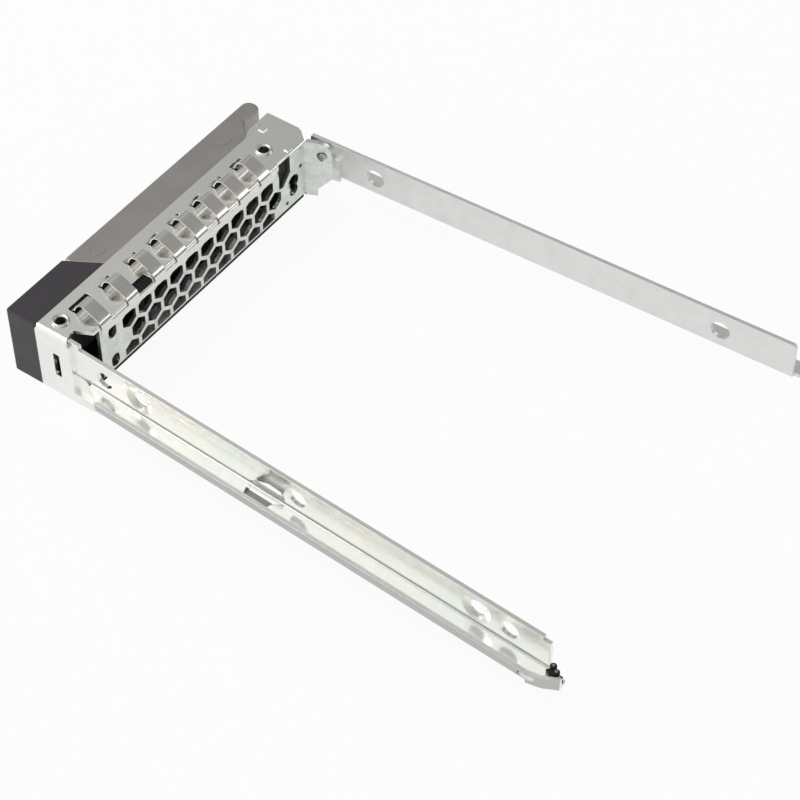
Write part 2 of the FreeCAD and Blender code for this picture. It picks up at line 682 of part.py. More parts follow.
def make_grille_bracket():
    """Honeycomb rear wall of the front block. Its foot folds forward, and its ear runs back to the far rail."""
    body = new_body("grille_bracket")
    front = "(block_depth - sheet_metal)"
    pad(body, "wall", "YZ", "-grille_far_x", "grille_near_x", [
        ("block_depth", "grille_low", "bend_outside"), ("block_depth", PLATE_UNDER), (front, PLATE_UNDER),
        (front, "grille_low + sheet_metal", "bend_inside"), ("grille_foot_y", "grille_low + sheet_metal"),
        ("grille_foot_y", "grille_low")])
    rail_line = f"(-bay_half - {{}} * tan(splay_angle))"
    rail_at_bend = rail_line.format("(ear_reach - bend_inside)")
    rail_at_end = rail_line.format("(ear_reach + ear_flange)")
    pad(body, "ear", "XY", "grille_low", "height", [
        ("-grille_far_x + sheet_metal", front), ("-grille_far_x", front),
        (rail_at_bend, f"{EAR_END_Y} - bend_inside"), (rail_at_end, f"{EAR_END_Y} + ear_flange"),
        (f"{rail_at_end} + sheet_metal", f"{EAR_END_Y} + ear_flange"),
        (f"{rail_at_bend} + sheet_metal", EAR_END_Y), ("-grille_far_x + sheet_metal", "block_depth")])
    pocket(body, "ear_foot", "YZ", "-2 * bay_half", "-grille_far_x - bend_inside", [
        ("0", "0"), ("block_depth + ear_slope_start", "0"),
        ("block_depth + ear_slope_start", "grille_low + bend_inside"),
        (EAR_END_Y, "ear_low", "bend_outside"), (f"{EAR_END_Y} + 2 * ear_flange", "ear_low"),
        (f"{EAR_END_Y} + 2 * ear_flange", "-seat_gap"), ("0", "-seat_gap")][1:])
    pocket(body, "ear_head", "YZ", "-2 * bay_half", "-grille_far_x + 2 * sheet_metal", [
        ("0", "height + sheet_metal"), ("0", PLATE_UNDER), ("block_depth", PLATE_UNDER), ("block_depth", "height"),
        (EAR_END_Y, "height", "ear_round"), (EAR_END_Y, "ear_flange_top"),
        (f"{EAR_END_Y} + 2 * ear_flange", "ear_flange_top"),
        (f"{EAR_END_Y} + 2 * ear_flange", "height + sheet_metal")])
    low_y = f"({front} - seat_gap)"
    high_y = "(block_depth + seat_gap)"
    honeycomb(body, "hexagon_first_x", low_y, high_y, "hexagon_count")
    for name, level in (("oval_upper_hole", "oval_upper"), ("oval_lower_hole", "oval_lower")):
        pocket(body, name, "XZ", low_y, high_y,
               rectangle("oval_x - oval_wide / 2", f"{level} - oval_high / 2", "oval_x + oval_wide / 2",
                         f"{level} + oval_high / 2", "oval_wide / 2 - seat_gap"))
    pocket(body, "tall_slot", "XZ", low_y, high_y, [
        ("-tall_slot_x + tall_slot_half_top", "tall_slot_top", "bend_inside"),
        ("-tall_slot_x - tall_slot_half_top", "tall_slot_top", "bend_outside"),
        ("-tall_slot_x - tall_slot_half_low", "tall_slot_low", "bend_inside"),
        ("-tall_slot_x + tall_slot_half_low", "tall_slot_low", "bend_inside")])
    pocket(body, "keyhole_head", "XZ", low_y, high_y, ("-keyhole_x", "keyhole_upper", "keyhole_upper_r"))
    pocket(body, "keyhole_foot", "XZ", low_y, high_y, ("-keyhole_x", "keyhole_lower", "keyhole_lower_r"))
    pocket(body, "pin_holes", "XZ", low_y, high_y, ("-pin_hole_upper_x", "pin_hole_upper", "pin_hole_r"),
           ("-pin_hole_lower_x", "pin_hole_lower", "pin_hole_r"))
    pocket(body, "ear_rivet_hole", "YZ", "-2 * bay_half", "-grille_far_x + sheet_metal",
           ("block_depth + ear_rivet_y", "ear_rivet_level", "ear_rivet_r + ear_rivet_gap"))
    pocket(body, "pivot_relief", "XY", "grille_low - seat_gap", "grille_low + sheet_metal + seat_gap",
           ("-pivot_x", "pivot_y", "pivot_lobe_r + pivot_lobe_gap"))
    return body


def make_finger_strip():
    """Contact strip: a band on the grille's top with arched spring fingers that dip into the plate's slots."""
    body = new_body("spring_finger_strip")
    ends = "(finger_wide / 2)"
    rear = "(block_depth + finger_metal)"
    pad(body, "band", "XZ", "block_depth", rear,
        rectangle(f"{finger_x(SIZES['finger_count'] - 1)} - 2 * {ends}", "finger_band_low",
                  f"{finger_x(0)} + {ends}", "finger_band_high"))
    for index in range(SIZES["finger_count"]):
        profile = sketch_on(body, f"finger_profile_{index}", "XY", "finger_band_low")
        draw_path(profile, rectangle(f"{finger_x(index)} - {ends}", "block_depth", f"{finger_x(index)} + {ends}", rear),
                  closed=True)
        spine = sketch_on(body, f"finger_spine_{index}", "YZ", finger_x(index))
        middle = "(block_depth + finger_metal / 2)"
        draw_path(spine, [
            (middle, "finger_band_low"), (middle, "height - finger_shoulder", "finger_bend"),
            ("finger_crest_y", "height + finger_crest", "finger_round"),
            ("finger_front_y + finger_bend", "height + finger_crest - finger_bend", "finger_round"),
            ("finger_front_y", "height - finger_dip", "finger_bend"),
            ("finger_curl_y", "height + finger_curl")], closed=False)
        pipe = body.newObject("PartDesign::AdditivePipe", f"finger_{index}")
        pipe.Profile = profile
        pipe.Spine = (spine, [])
    doc.recompute()
    return body


def make_carrier_body():
    """Plastic body inside the front block: floor, sill under the lever, near block, far post and vent ribs."""
    body = new_body("carrier_body")
    pad(body, "floor", "XY", "0", "floor_thick", [
        ("-body_far_x", "-sill_front", "bend_outside"), ("sill_near_x", "-sill_front", "bend_outside"),
        ("sill_near_x", "seat_gap"), (BODY_NEAR_X, "seat_gap"),
        (BODY_NEAR_X, "joggle_y - sheet_metal - seat_gap"),
        ("bay_half - seat_gap", "joggle_y - sheet_metal - seat_gap"),
        ("bay_half - seat_gap", "body_rear"),
        ("-body_far_x", "body_rear", "bend_outside")])
    pad(body, "block", "XY", "floor_thick", f"{PLATE_UNDER} - seat_gap",
        rectangle("block_inner_x", "seat_gap", BODY_NEAR_X, "block_rear"))
    pad(body, "post", "XY", "floor_thick", f"{PLATE_UNDER} - seat_gap",
        rectangle("-body_far_x", "post_front", "-body_far_x + post_long", "body_rear"))
    rib = pad(body, "rib", "XY", "floor_thick", "rib_top",
              rectangle("rib_first_x - rib_thick / 2", "rib_front", "rib_first_x + rib_thick / 2", "grille_foot_y"))
    repeat_along_x(body, rib, "ribs", "rib_step", "rib_count")
    pad(body, "latch_shelf", "XY", "latch_low - latch_shelf_gap - latch_shelf", "latch_low - latch_shelf_gap",
        rectangle("block_inner_x", "-latch_front", "latch_near_x", "2 * seat_gap"))
    pad(body, "board_rest", "XY", "board_low + seat_gap", "board_high - seat_gap",
        rectangle("board_far_x + seat_gap", "-board_front + board_thick", "latch_near_x", "2 * seat_gap"))
    pocket(body, "block_hollow", "YZ", "block_inner_x + sheet_metal", f"{BODY_NEAR_X} + seat_gap",
           rectangle("2 * sheet_metal", "2 * floor_thick", "block_rear + seat_gap", "height / 2"))
    pocket(body, "foot_seat", "XY", "grille_low - seat_gap", "grille_low + sheet_metal",
           rectangle("-grille_far_x", "grille_foot_y - seat_gap", "block_inner_x", "block_depth"))
    pocket(body, "pivot_hole", "XY", "-seat_gap", "floor_thick + seat_gap", ("-pivot_x", "pivot_y", "rivet_r"))
    pocket(body, "pivot_foot_seat", "XY", "-seat_gap", "rivet_foot_up + rivet_foot",
           ("-pivot_x", "pivot_y", "rivet_foot_r"))
    pocket(body, "corner_rivet_hole", "XY", "height - corner_rivet_long", "height",
           (CORNER_RIVET_X, "corner_rivet_y", "rivet_r"))
    return body


def make_bezel_cap():
    """Black cap on the near end of the front: a shell with openings for the button, the lenses and the latch."""
    body = new_body("bezel_cap")
    slant = "((cap_joint_front_x - cap_joint_rear_x) / (cap_front - seat_gap))"
    pad(body, "shell", "XY", "0", "height", [
        (WALL_X, "0"), (WALL_X, "-cap_front", "cap_round"), ("cap_joint_front_x", "-cap_front", "bend_inside"),
        ("cap_joint_rear_x", "0")])
    round_edges(body, "top_round", "bend_inside", straight_edge_at(y="-cap_front", z="height"))
    inner_near = f"({WALL_X} - cap_wall)"
    inner_front = "(cap_front - cap_wall)"
    pocket(body, "hollow", "XY", "cap_wall", "height - cap_wall", [
        (inner_near, "seat_gap"), (inner_near, f"-{inner_front}"),
        (f"cap_joint_rear_x + {slant} * {inner_front} + cap_wall", f"-{inner_front}"),
        ("cap_joint_rear_x + cap_wall", "seat_gap")])
    pocket(body, "button_opening", "XZ", "-cap_front - seat_gap", f"-{inner_front} + seat_gap",
           rectangle("button_far_x - button_gap", "button_low - button_gap", "button_near_x + button_gap",
                     "button_high + button_gap", "cap_round"))
    pocket(body, "lens_holes", "XZ", "-cap_front - seat_gap", f"-{inner_front} + seat_gap",
           ("lens_x", "lens_level", "lens_r"), ("lens_x + lens_step", "lens_level", "lens_r"))
    pocket(body, "latch_opening", "YZ", "cap_joint_rear_x - sheet_metal", "cap_joint_front_x + cap_wall",
           rectangle("-latch_tooth_front - button_gap", "latch_low - button_gap",
                     "-latch_tooth_rear + button_gap", "latch_tooth_high + button_gap"))
    return body


def make_lever_shell():
    """Metal lever: a channel with a vented front wall, a lobe on the pivot and a solid hook at the far end."""
    body = new_body("lever_shell")
    slant = "((cap_joint_front_x - cap_joint_rear_x) / cap_front)"
    pad(body, "outline", "XY", "lever_low", LEVER_TOP, [
        (f"cap_joint_rear_x - lever_joint_gap + {slant} * lever_front", "-lever_front", "bend_outside"),
        (f"cap_joint_rear_x - lever_joint_gap - {slant} * lever_rear", "lever_rear"),
        ("-arm_near_x", "lever_rear"), ("-pivot_x + pivot_lobe_r - seat_gap", "pivot_y"),
        ("-arm_far_x", "pivot_y"), ("-hook_root_x", "-hook_root_y"),
        ("-hook_notch_x", "-hook_notch_y", "bend_inside"), ("-hook_nose_x", "-hook_rear_y", "hook_round"),
        ("-hook_nose_x + seat_gap", "-lever_front", "hook_round")])
    pad(body, "lobe", "XY", "lever_low", LEVER_TOP, ("-pivot_x", "pivot_y", "pivot_lobe_r"))
    round_edges(body, "front_round", "bend_outside / 2", straight_edge_at(y="-lever_front", z=LEVER_TOP))
    pocket(body, "channel", "XY", "lever_low + sheet_metal", f"{LEVER_TOP} - sheet_metal",
           rectangle("-nose_solid_x", "-lever_front + sheet_metal",
                     "cap_joint_front_x + sheet_metal", "2 * pivot_y"))
    honeycomb(body, "lever_hexagon_x", "-lever_front - seat_gap", "-lever_front + sheet_metal + seat_gap",
              "lever_hexagon_count")
    pocket(body, "pivot_bore", "XY", "lever_low - seat_gap", "height",
           ("-pivot_x", "pivot_y", "rivet_r + rivet_running"))
    pocket(body, "stake_holes", "XY", f"{LEVER_TOP} - 2 * sheet_metal", "height",
           ("stake_near_x", "-stake_y", "stake_r"), ("-stake_far_x", "-stake_y", "stake_r"))
    return body


def make_lever_insert():
    """Plastic frame in the lever's channel: two long bars, an end post and the hub round the pivot."""
    body = new_body("lever_insert")
    low = "(lever_low + sheet_metal + insert_gap)"
    high = f"({LEVER_TOP} - sheet_metal - insert_gap)"
    pad(body, "frame", "XY", low, high,
        rectangle("-insert_far_x", "-insert_front", "insert_near_x", "-insert_rear", "bend_inside"))
    pocket(body, "vent_way", "XZ", "-insert_front - seat_gap", "seat_gap",
           rectangle("-insert_far_x + insert_post", f"{low} + insert_bar", "insert_near_x - insert_post",
                     f"{high} - insert_bar", "bend_inside"))
    pad(body, "arm", "XY", low, high, [
        ("-pivot_x - hub_r / 2", "-insert_rear - seat_gap"), ("-pivot_x + hub_r / 2", "-insert_rear - seat_gap"),
        ("-pivot_x + hub_r / 2", "pivot_y"), ("-pivot_x - hub_r / 2", "pivot_y")])
    pad(body, "hub", "XY", low, high, ("-pivot_x", "pivot_y", "hub_r"))
    pocket(body, "hub_bore", "XY", "0", "height", ("-pivot_x", "pivot_y", "rivet_r + rivet_running"))
    pocket(body, "stake_holes", "XY", f"{LEVER_TOP} - stake_long + stake_proud", "height",
           ("stake_near_x", "-stake_y", "stake_r"), ("-stake_far_x", "-stake_y", "stake_r"))
    return body


def make_stake(name, x):
    """Round stake that joins the lever's shell to its plastic frame, nearly flush with the top."""
    stake = doc.addObject("Part::Cylinder", name)
    stake.Label = name
    bind(stake, Radius="stake_r", Height="stake_long", Placement__Base__x=x, Placement__Base__y="-stake_y",
         Placement__Base__z=f"{LEVER_TOP} + stake_proud - stake_long")
    return stake


def make_rivet(name, x, y, low, foot):
    """Tubular rivet with a flared mouth in the top plate, and a flat foot where one is asked for."""
    body = new_body(name)
    pad(body, "shank", "XY", low, "height", (x, y, "rivet_r"))
    flare = body.newObject("PartDesign::AdditiveCone", "flare")
    bind(flare, Radius1="rivet_r", Radius2="rivet_flare_r", Height="rivet_flare_deep", Placement__Base__x=x,
         Placement__Base__y=y, Placement__Base__z="height - rivet_flare_deep")
    if foot:
        pad(body, "foot", "XY", low, f"{low} + rivet_foot", (x, y, "rivet_foot_r"))
    pocket(body, "bore", "XY", f"{low} - seat_gap", "height + seat_gap", (x, y, "rivet_bore_r"))
    cone_cut(body, "mouth", x, y, "height", DOWNWARDS, "rivet_flare_r - seat_gap", "rivet_bore_r",
             "2 * rivet_flare_deep")
    return body


def make_ear_rivet():
    """Small rivet in the far rail's own frame. It holds the grille's ear to the web, with its head outside."""
    body = new_body("ear_rivet")
    ear_face = "(sheet_metal + (bay_half - grille_far_x + sheet_metal) * (1 - ear_rivet_y / ear_reach))"
    pad(body, "head", "YZ", "-ear_rivet_head", "0", ("ear_rivet_y", "ear_rivet_level", "ear_rivet_head_r"))
    pad(body, "shank", "YZ", "0", f"{ear_face} + sheet_metal + ear_rivet_stub",
        ("ear_rivet_y", "ear_rivet_level", "ear_rivet_r"))
    stand_along_rail(body, -1)
    return body


def make_release_button():
    """Push button in the cap, with a stop rim behind the cap's wall and a wedge that moves the latch aside."""
    body = new_body("release_button")
    pad(body, "key", "XZ", "-cap_front - button_proud", "-button_rear",
        rectangle("button_far_x", "button_low", "button_near_x", "button_high", "cap_round - button_gap"))
    rim_front = "(-cap_front + cap_wall + seat_gap)"
    pad(body, "rim", "XZ", rim_front, f"{rim_front} + button_rim_thick",
        rectangle("button_far_x - button_rim", "button_low - button_rim / 2", "button_near_x + button_rim",
                  "button_high + button_rim / 2"))
    pad(body, "wedge", "XY", "wedge_low", "wedge_high", [
        ("wedge_far_x", "-button_rear - sheet_metal"), ("wedge_near_x", "-button_rear - sheet_metal"),
        ("wedge_near_x", "-button_rear"), ("wedge_near_x - wedge_slope * wedge_long", "-button_rear + wedge_long"),
        ("wedge_far_x", "-button_rear + wedge_long")])
    pocket(body, "dish", "XZ", "-cap_front - button_proud - seat_gap", "-cap_front - button_proud + button_dish",
           rectangle("button_far_x + cap_wall", "button_low + cap_wall", "button_near_x - cap_wall",
                     "button_high - cap_wall", "cap_round"))
    return body


def make_latch_slider():
    """Latch plate under the wedge, with a ramp that the wedge meets and a tooth that reaches into the lever."""
    body = new_body("latch_slider")
    top = "(latch_low + latch_plate)"
    ramp_x = "(wedge_near_x - wedge_slope * {} + wedge_gap)"
    pad(body, "plate", "XY", "latch_low", top,
        rectangle("latch_plate_x", "-latch_front", "latch_near_x", "-latch_rear"))
    pad(body, "tooth", "XY", "latch_low", "latch_tooth_high", [
        ("latch_tooth_x", "-latch_tooth_rear"), ("latch_tooth_x + sheet_metal", "-latch_tooth_front"),
        ("latch_plate_x + cap_wall", "-latch_tooth_front"), ("latch_plate_x + cap_wall", "-latch_tooth_rear")])
    pad(body, "ramp", "XY", top, "wedge_high", [
        (ramp_x.format("(button_rear - latch_front)"), "-latch_front"), ("latch_near_x", "-latch_front"),
        ("latch_near_x", "-latch_rear"), (ramp_x.format("(button_rear - latch_rear)"), "-latch_rear")])
    return body


def make_latch_spring():
    """Return spring between the latch's near end and the cap's wall, its coil swept along a helix."""
    low = number("latch_near_x + spring_wire_r")
    high = number(f"{WALL_X} - cap_wall - spring_wire_r")
    radius = number("spring_r")
    wire_radius = number("spring_wire_r")
    coil = Part.makeHelix((high - low) / number("spring_turns"), high - low, radius)
    section = Part.Wire(Part.makeCircle(wire_radius, FreeCAD.Vector(radius, 0, 0), FreeCAD.Vector(0, 1, 0)))
    spring = doc.addObject("Part::Feature", "latch_spring")
    spring.Label = "latch_spring"
    spring.Shape = Part.Wire(coil).makePipeShell([section], True, True)
    centre = FreeCAD.Vector(low, -number("(latch_front + latch_rear) / 2"), number("(latch_low + wedge_high) / 2"))
    spring.Placement = FreeCAD.Placement(centre, FreeCAD.Rotation(FreeCAD.Vector(0, 1, 0), 90))
    return spring


def make_indicator_lens(name, x):
    """Clear rod that carries a status light from the board to the cap's front."""
    body = new_body(name)
    pad(body, "rod", "XZ", "-cap_front - lens_proud", "-board_front", (x, "lens_level", "lens_r"))
    return body


def make_indicator_board():
    """Small circuit board behind the two lenses."""
    board = doc.addObject("Part::Box", "indicator_board")
    board.Label = "indicator_board"
    bind(board, Length=f"{WALL_X} - cap_wall - board_far_x", Width="board_thick", Height="board_high - board_low",
         Placement__Base__x="board_far_x", Placement__Base__y="-board_front", Placement__Base__z="board_low")
    return board


def make_contact_block():
    """Moulded block at the near rail's tip, stepped at the rear, that holds the contact pins."""
    body = new_body("contact_block")
    far = "(contact_inner_x + contact_wide)"
    pad(body, "block", "XY", FLANGE_TOP, f"{FLANGE_TOP} + contact_high", [
        ("contact_inner_x", CONTACT_FRONT), (far, CONTACT_FRONT), (far, f"{CONTACT_REAR} - contact_step"),
        (f"{far} - contact_step", f"{CONTACT_REAR} - contact_step"), (f"{far} - contact_step", CONTACT_REAR),
        ("contact_inner_x", CONTACT_REAR)])
    for index in range(3):
        pocket(body, f"pin_hole_{index}", "XZ", f"{CONTACT_REAR} - pin_deep", f"{CONTACT_REAR} + seat_gap",
               (contact_pin_x(index), f"{FLANGE_TOP} + pin_level", "pin_r"))
    stand_along_rail(body, 1)
    return body


def contact_pin_x(index):
    return f"(contact_inner_x + (contact_wide - contact_step) * {index + 1} / 4)"


def make_contact_pin(index):
    """One gold contact pin that stands out of the tip block."""
    body = new_body(f"contact_pin_{index + 1}")
    pad(body, "pin", "XZ", f"{CONTACT_REAR} - pin_deep", f"{CONTACT_REAR} + pin_out",
        (contact_pin_x(index), f"{FLANGE_TOP} + pin_level", "pin_r"))
    stand_along_rail(body, 1)
    return body


def make_contact_flex():
    """Flat flexible conductor under the near rail's flange, between the front block and the tip."""
    body = new_body("contact_flex")
    pad(body, "strip", "XY", "strip_low - flex_thick", "strip_low",
        rectangle("flex_inner_x", "lip_start", "flex_inner_x + flex_wide",
                  "rail_length - flex_back", "bend_inside"))
    stand_along_rail(body, 1)
    return body


pieces = [
    make_main_bracket(),
    make_far_rail(),
    make_grille_bracket(),
    make_finger_strip(),
    make_carrier_body(),
    make_bezel_cap(),
    make_lever_shell(),
    make_lever_insert(),
    make_stake("lever_stake_near", "stake_near_x"),
    make_stake("lever_stake_far", "-stake_far_x"),
    make_rivet("pivot_rivet", "-pivot_x", "pivot_y", "rivet_foot_up", foot=True),
    make_rivet("corner_rivet", CORNER_RIVET_X, "corner_rivet_y", "(height - corner_rivet_long)", foot=False),
    make_ear_rivet(),
    make_release_button(),
    make_latch_slider(),
    make_latch_spring(),
    make_indicator_lens("indicator_lens_far", "lens_x"),
    make_indicator_lens("indicator_lens_near", "lens_x + lens_step"),
    make_indicator_board(),
    make_contact_block(),
    make_contact_flex(),
]
pieces += [make_contact_pin(index) for index in range(3)]

doc.recompute()
for thing in doc.Objects:
    if {"Invalid", "Error"} & set(thing.State):
        raise RuntimeError(f"{thing.Label} failed: {thing.State}")
for piece in pieces:
    if piece.Shape.isNull() or not piece.Shape.isValid() or not piece.Shape.Solids:
        raise RuntimeError(f"{piece.Label} is not a valid solid")

os.makedirs("parts", exist_ok=True)
for piece in pieces:
    piece.Shape.exportStep(os.path.join("parts", f"{piece.Label}.step"))
    box = piece.Shape.BoundBox
    print(f"{piece.Label}: {len(piece.Shape.Solids)} solid, {piece.Shape.Volume:.2f} mm3, "
          f"x {box.XMin:.2f} to {box.XMax:.2f}, y {box.YMin:.2f} to {box.YMax:.2f}, z {box.ZMin:.2f} to {box.ZMax:.2f}")
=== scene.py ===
"""Looks of the hot swap drive caddy. Lengths are in millimetres unless a name or a call says otherwise."""
import math

import bmesh
import bpy
from mathutils import Matrix, Vector


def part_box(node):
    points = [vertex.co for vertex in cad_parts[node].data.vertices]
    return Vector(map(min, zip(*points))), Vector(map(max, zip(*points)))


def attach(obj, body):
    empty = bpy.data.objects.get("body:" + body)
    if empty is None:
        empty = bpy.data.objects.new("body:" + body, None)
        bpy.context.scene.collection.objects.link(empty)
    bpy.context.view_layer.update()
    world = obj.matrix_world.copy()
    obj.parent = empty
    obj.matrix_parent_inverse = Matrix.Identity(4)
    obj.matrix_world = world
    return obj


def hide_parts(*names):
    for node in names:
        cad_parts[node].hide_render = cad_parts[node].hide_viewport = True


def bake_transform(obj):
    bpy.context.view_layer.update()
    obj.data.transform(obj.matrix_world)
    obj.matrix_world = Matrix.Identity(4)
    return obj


MM = 0.001                   # one millimetre in metres
PER_METRE = 1000.0
RAIL_X = 36.0                # outer face of a rail's web, at the grille's rear face
RAIL_Y = 10.1
SPLAY = 2.7                  # each rail opens by this angle, in degrees
PLATE_TOP = 15.6
PLATE_UNDER = 14.8
PLATE = (PLATE_UNDER, PLATE_TOP)
FINGER_X = (28.15, 20.45, 12.75, 6.3, -0.15, -6.6, -13.05, -19.5)
SEAM = 0.00001               # points of a CAD mesh closer than this, in metres, are one

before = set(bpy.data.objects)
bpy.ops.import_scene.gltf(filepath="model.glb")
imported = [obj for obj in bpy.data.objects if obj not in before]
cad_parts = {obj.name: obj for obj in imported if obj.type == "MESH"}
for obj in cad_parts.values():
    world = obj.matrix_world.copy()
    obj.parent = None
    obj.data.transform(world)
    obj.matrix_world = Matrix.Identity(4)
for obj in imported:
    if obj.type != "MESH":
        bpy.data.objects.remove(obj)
bpy.context.scene.view_settings.view_transform = "Standard"
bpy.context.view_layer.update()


# --- Camera, floor and studio ---

def place_camera():
    """Looks down from behind the contact rail, with the lever and the grille at the far left."""
    eye = Vector((254.5, 241.3, 344.3)) * MM
    aim = Vector((7.1, 61.5, 8.0)) * MM
    roll = math.radians(-0.43)
    nearest, farthest = 0.01, 20.0  # metres
    lens = bpy.data.cameras.new("product_camera")
    lens.sensor_width = 36.0
    lens.lens = 112.1
    lens.clip_start = nearest
    lens.clip_end = farthest
    camera = bpy.data.objects.new("product_camera", lens)
    bpy.context.scene.collection.objects.link(camera)
    turn = (aim - eye).to_track_quat("-Z", "Y").to_matrix() @ Matrix.Rotation(roll, 3, "Z")
    camera.matrix_world = Matrix.Translation(eye) @ turn.to_4x4()
    bpy.context.scene.camera = camera


def lay_floor():
    """A wide pale floor under the carrier's block.

    It looks nearly white, and metal mirrors it a little darker."""
    half = 4.0  # metres
    seen_white, mirrored_white = 0.92, 0.6
    corners = [(-half, -half, 0), (half, -half, 0), (half, half, 0), (-half, half, 0)]
    mesh = bpy.data.meshes.new("studio_floor")
    mesh.from_pydata(corners, [], [(0, 1, 2, 3)])
    floor = bpy.data.objects.new("studio_floor", mesh)
    bpy.context.scene.collection.objects.link(floor)
    paper = bpy.data.materials.new("pale_paper")
    paper.use_nodes = True
    tree = paper.node_tree
    tree.nodes.clear()
    matt = tree.nodes.new("ShaderNodeBsdfDiffuse")
    matt.inputs["Color"].default_value = (0.86, 0.86, 0.86, 1)
    white = tree.nodes.new("ShaderNodeEmission")
    white.inputs["Color"].default_value = (1, 1, 1, 1)
    white.inputs["Strength"].default_value = 1.0
    rays = tree.nodes.new("ShaderNodeLightPath")
    camera_share = tree.nodes.new("ShaderNodeMath")
    camera_share.operation = "MULTIPLY"
    camera_share.inputs[1].default_value = seen_white
    share = tree.nodes.new("ShaderNodeMath")
    share.operation = "MULTIPLY_ADD"
    share.inputs[1].default_value = mirrored_white
    mix = tree.nodes.new("ShaderNodeMixShader")
    out = tree.nodes.new("ShaderNodeOutputMaterial")
    tree.links.new(rays.outputs["Is Camera Ray"], camera_share.inputs[0])
    tree.links.new(rays.outputs["Is Glossy Ray"], share.inputs[0])
    tree.links.new(camera_share.outputs[0], share.inputs[2])
    tree.links.new(share.outputs[0], mix.inputs[0])
    tree.links.new(matt.outputs[0], mix.inputs[1])
    tree.links.new(white.outputs[0], mix.inputs[2])
    tree.links.new(mix.outputs[0], out.inputs["Surface"])
    mesh.materials.append(paper)


def softbox(name, centre, aim, width, height, power):
    """A rectangular lamp at a centre, turned to an aim, in metres and watts."""
    light = bpy.data.lights.new(name, "AREA")
    light.shape = "RECTANGLE"
    light.size = width
    light.size_y = height
    light.energy = power
    lamp = bpy.data.objects.new(name, light)
    lamp.location = centre
    lamp.rotation_euler = (Vector(aim) - Vector(centre)).to_track_quat("-Z", "Y").to_euler()
    bpy.context.scene.collection.objects.link(lamp)


def light_studio():
    """A room that is bright on the contact rail's side and greyer behind the lever, with two softboxes."""
    bright_side = Vector((0.7, -0.4, 0.6)).normalized()
    ramp_start, ramp_end = 0.1, 0.85
    world = bpy.data.worlds.new("studio_room")
    world.use_nodes = True
    bpy.context.scene.world = world
    tree = world.node_tree
    tree.nodes.clear()
    way = tree.nodes.new("ShaderNodeTexCoord")
    towards = tree.nodes.new("ShaderNodeVectorMath")
    towards.operation = "DOT_PRODUCT"
    towards.inputs[1].default_value = bright_side
    glow = tree.nodes.new("ShaderNodeValToRGB")
    dark, bright = glow.color_ramp.elements
    dark.position = ramp_start
    dark.color = (0.33, 0.327, 0.322, 1)
    bright.position = ramp_end
    bright.color = (0.96, 0.97, 0.95, 1)
    room = tree.nodes.new("ShaderNodeBackground")
    room.inputs["Strength"].default_value = 1.0
    white = tree.nodes.new("ShaderNodeBackground")
    white.inputs["Color"].default_value = (1, 1, 1, 1)
    rays = tree.nodes.new("ShaderNodeLightPath")
    mix = tree.nodes.new("ShaderNodeMixShader")
    out = tree.nodes.new("ShaderNodeOutputWorld")
    tree.links.new(way.outputs["Generated"], towards.inputs[0])
    tree.links.new(towards.outputs["Value"], glow.inputs[0])
    tree.links.new(glow.outputs[0], room.inputs["Color"])
    tree.links.new(rays.outputs["Is Camera Ray"], mix.inputs[0])
    tree.links.new(room.outputs[0], mix.inputs[1])
    tree.links.new(white.outputs[0], mix.inputs[2])
    tree.links.new(mix.outputs[0], out.inputs["Surface"])
    middle = (0, 0.05, 0)
    softbox("front_softbox", (0.1, -0.75, 1.1), middle, 0.6, 0.6, 4.0)
    softbox("finger_softbox", (-0.66, 0.51, 0.59), middle, 0.45, 0.3, 0.75)


# --- Finishes ---

